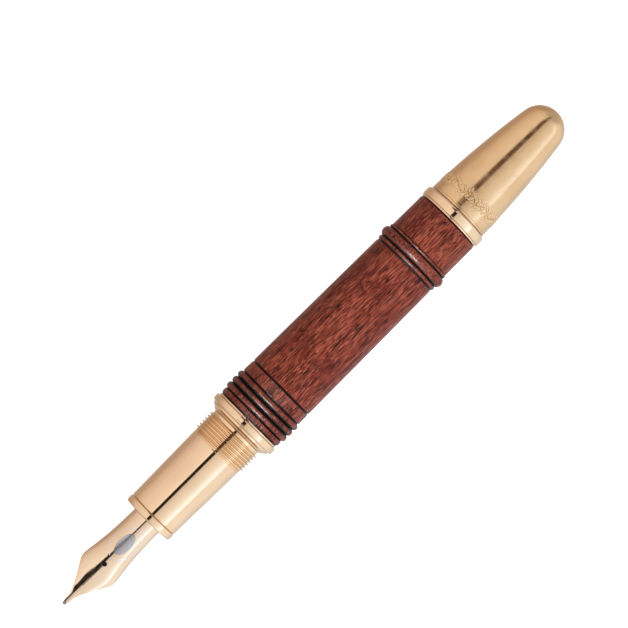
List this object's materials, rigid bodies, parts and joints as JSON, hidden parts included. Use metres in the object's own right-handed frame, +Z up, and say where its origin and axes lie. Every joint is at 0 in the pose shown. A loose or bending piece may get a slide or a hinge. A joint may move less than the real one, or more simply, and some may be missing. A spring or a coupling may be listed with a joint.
{
  "type": "fountain pen",
  "caption": "Uncapped piston-filling fountain pen with a gold nib, metal grip with cap thread, beaded wooden barrel and a long conical turning knob.",
  "frame": {"origin": "bottom centre of the whole pen, on the surface that it lies on, midway between nib tip and tail", "axes": "+X along the pen from nib tip to tail, +Z up with the nib's upper side, +Y to the left when looking along +X"},
  "size_m": [0.1324, 0.0154, 0.0155],
  "materials": {
    "gold_trim": "polished",
    "nib_gold": "polished",
    "tipping_metal": "satin",
    "rosewood": "satin",
    "feed_ebonite": "satin",
    "core_resin": "gloss",
    "mechanism_resin": "satin",
    "mechanism_brass": "satin",
    "seal_rubber": "matte",
    "washer_ptfe": "matte"
  },
  "bodies": {
    "barrel": {"nib": "nib_gold", "nib_tipping": "tipping_metal", "feed": "feed_ebonite", "nib_collar": "mechanism_resin", "front_ring": "gold_trim", "grip_section": "gold_trim", "section_seal": "seal_rubber", "barrel_collar": "gold_trim", "barrel_core": "core_resin", "front_wood_sleeve": "rosewood", "barrel_wood_sleeve": "rosewood", "wood_bead_ring": "rosewood", "rear_wood_sleeve": "rosewood", "end_ring": "gold_trim", "mechanism_housing": "mechanism_brass", "housing_seal": "seal_rubber", "rod_guide": "mechanism_brass", "thrust_washer": "washer_ptfe"},
    "spindle": {"drive_spindle": "mechanism_brass"},
    "knob": {"turning_knob": "gold_trim", "knob_insert": "mechanism_brass"},
    "piston": {"piston_head": "mechanism_resin", "piston_seals": "seal_rubber", "piston_rod": "mechanism_resin"}
  },
  "joints": [
    {"name": "knob_turn", "type": "hinge", "parent": "barrel", "child": "spindle", "pos_m": [0.0396, 0, 0.00774], "axis": [1, 0, 0], "range_deg": [0, 1260]},
    {"name": "knob_lift", "type": "slide", "parent": "spindle", "child": "knob", "axis": [1, 0, 0], "range_m": [0, 0.0024]},
    {"name": "piston_travel", "type": "slide", "parent": "barrel", "child": "piston", "axis": [-1, 0, 0], "range_m": [0, 0.023]}
  ],
  "couplings": [
    {"joint": "knob_lift", "follows": "knob_turn", "m_per_rad": 0.00010913},
    {"joint": "piston_travel", "follows": "knob_turn", "m_per_rad": 0.0010458}
  ]
}
